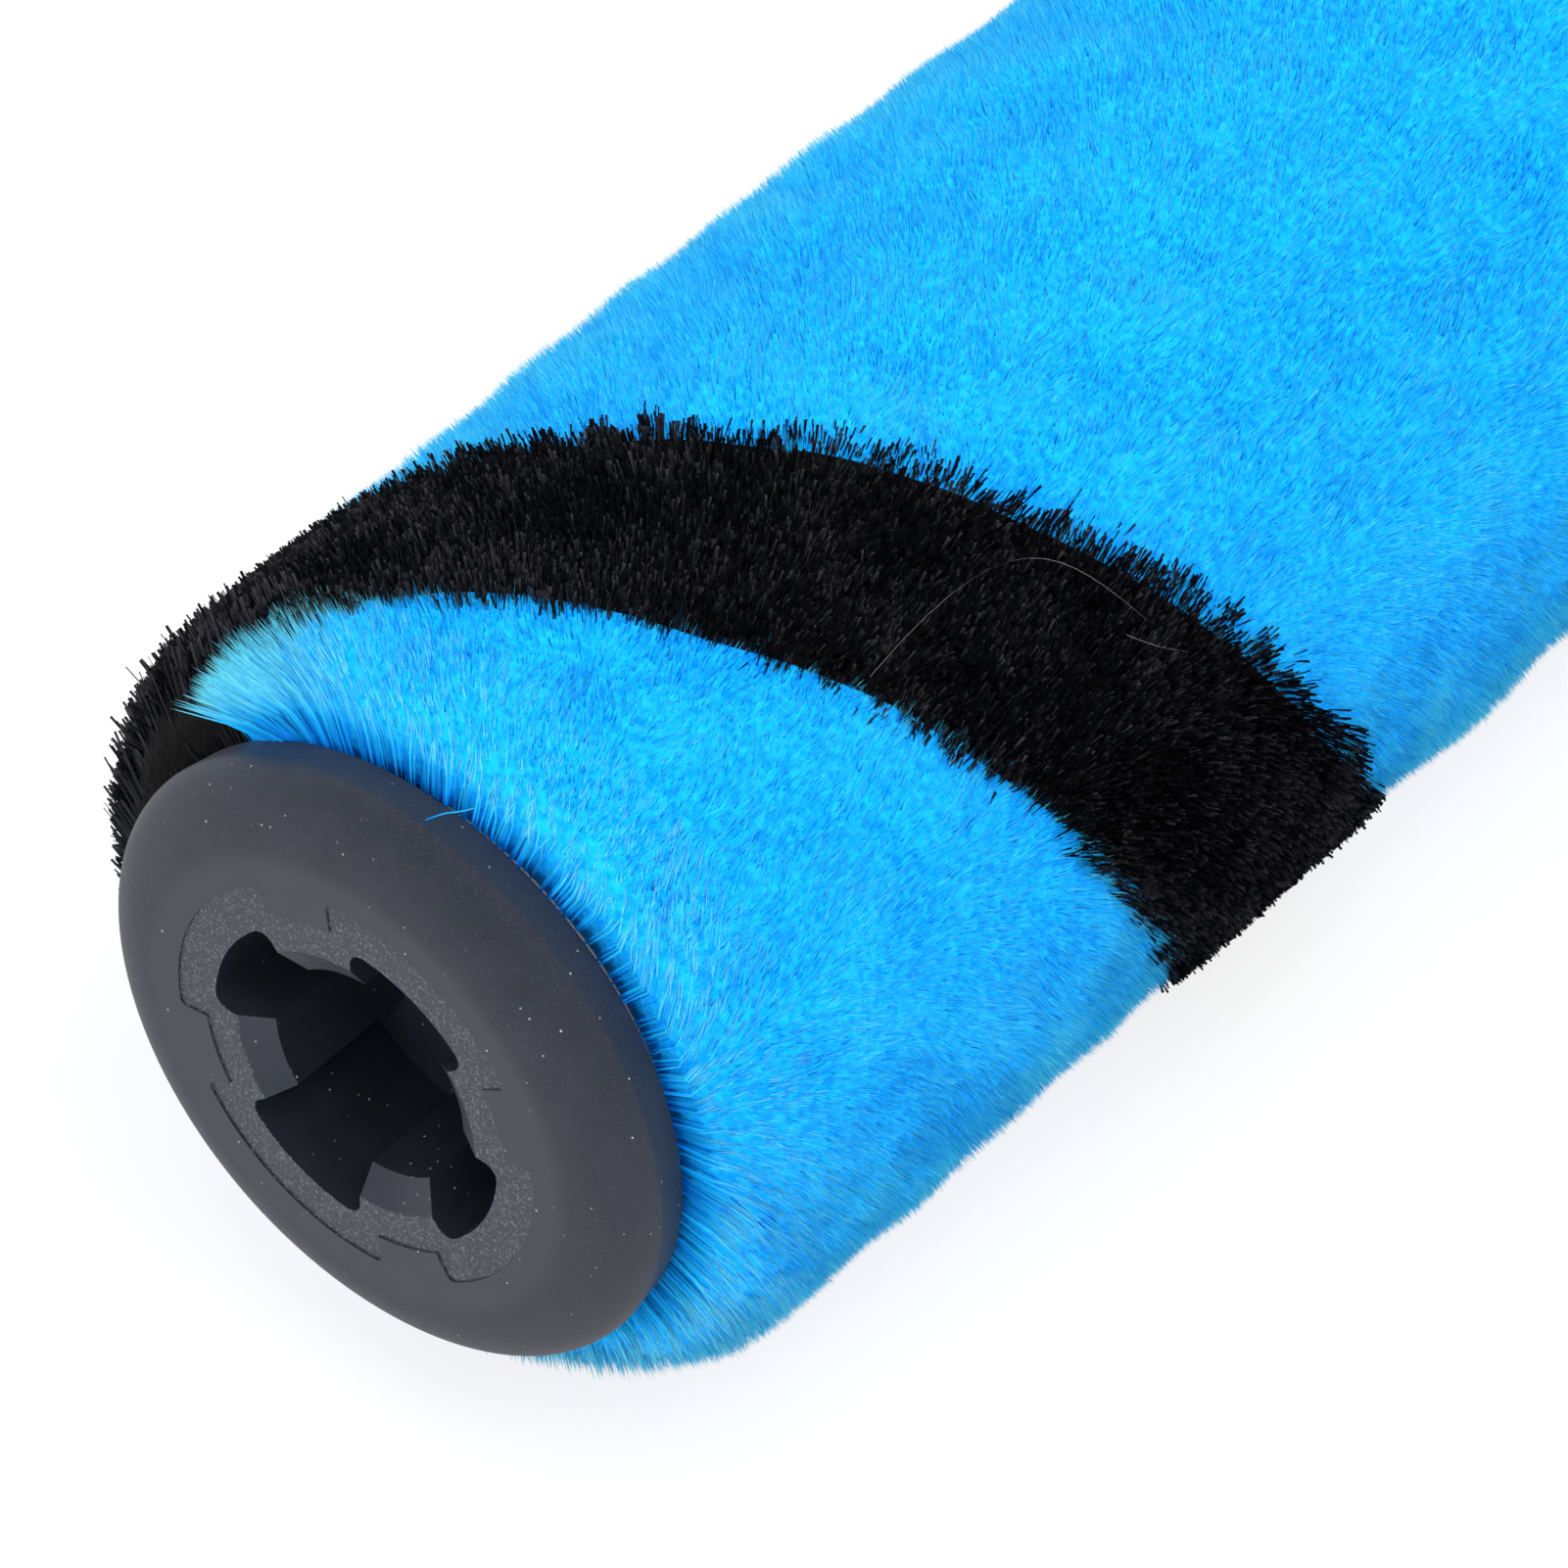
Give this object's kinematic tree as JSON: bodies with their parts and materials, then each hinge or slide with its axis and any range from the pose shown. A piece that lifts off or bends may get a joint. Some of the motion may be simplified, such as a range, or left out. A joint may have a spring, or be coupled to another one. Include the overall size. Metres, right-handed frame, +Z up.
{
  "type": "vacuum soft roller brush",
  "caption": "Soft roller brush for a vacuum cleaner head: blue plush with a black helical bristle band, a lobed drive socket at one end and a ball-bearing end piece at the other.",
  "frame": {"origin": "centre of the drive end cap's front face, on the roller's axis", "axes": "+X along the roller's axis from the drive end to the idle end, +Z up from the surface that it lies on"},
  "size_m": [0.238, 0.0508, 0.0499],
  "materials": {
    "cap_plastic": "matte",
    "blue_plush": "plush",
    "black_bristle": "plush",
    "tube_plastic": "matte",
    "axle_steel": "satin",
    "bearing_steel": "polished",
    "cage_plastic": "matte",
    "felt": "matte",
    "holder_plastic": "matte"
  },
  "bodies": {
    "roller": {"drive_end_cap": "cap_plastic", "core_tube": "tube_plastic", "plush_strip": "blue_plush", "bristle_strip": "black_bristle", "idle_end_cap": "cap_plastic", "axle_pin": "axle_steel", "spacer_washer": "axle_steel", "bearing_inner_ring": "bearing_steel", "retaining_clip": "axle_steel", "felt_seal": "felt"},
    "holder": {"bearing_holder": "holder_plastic", "bearing_outer_ring": "bearing_steel", "bearing_inner_shield": "bearing_steel", "bearing_outer_shield": "bearing_steel"},
    "ball_set": {"bearing_balls": "bearing_steel", "bearing_cage": "cage_plastic"}
  },
  "joints": [
    {"name": "holder_spin", "type": "hinge", "parent": "roller", "child": "holder", "pos_m": [0.2245, 0, 0], "axis": [1, 0, 0], "continuous": true},
    {"name": "ball_set_spin", "type": "hinge", "parent": "roller", "child": "ball_set", "pos_m": [0.2245, 0, 0], "axis": [1, 0, 0], "continuous": true}
  ],
  "couplings": [
    {"joint": "ball_set_spin", "follows": "holder_spin", "ratio": 0.63333}
  ]
}
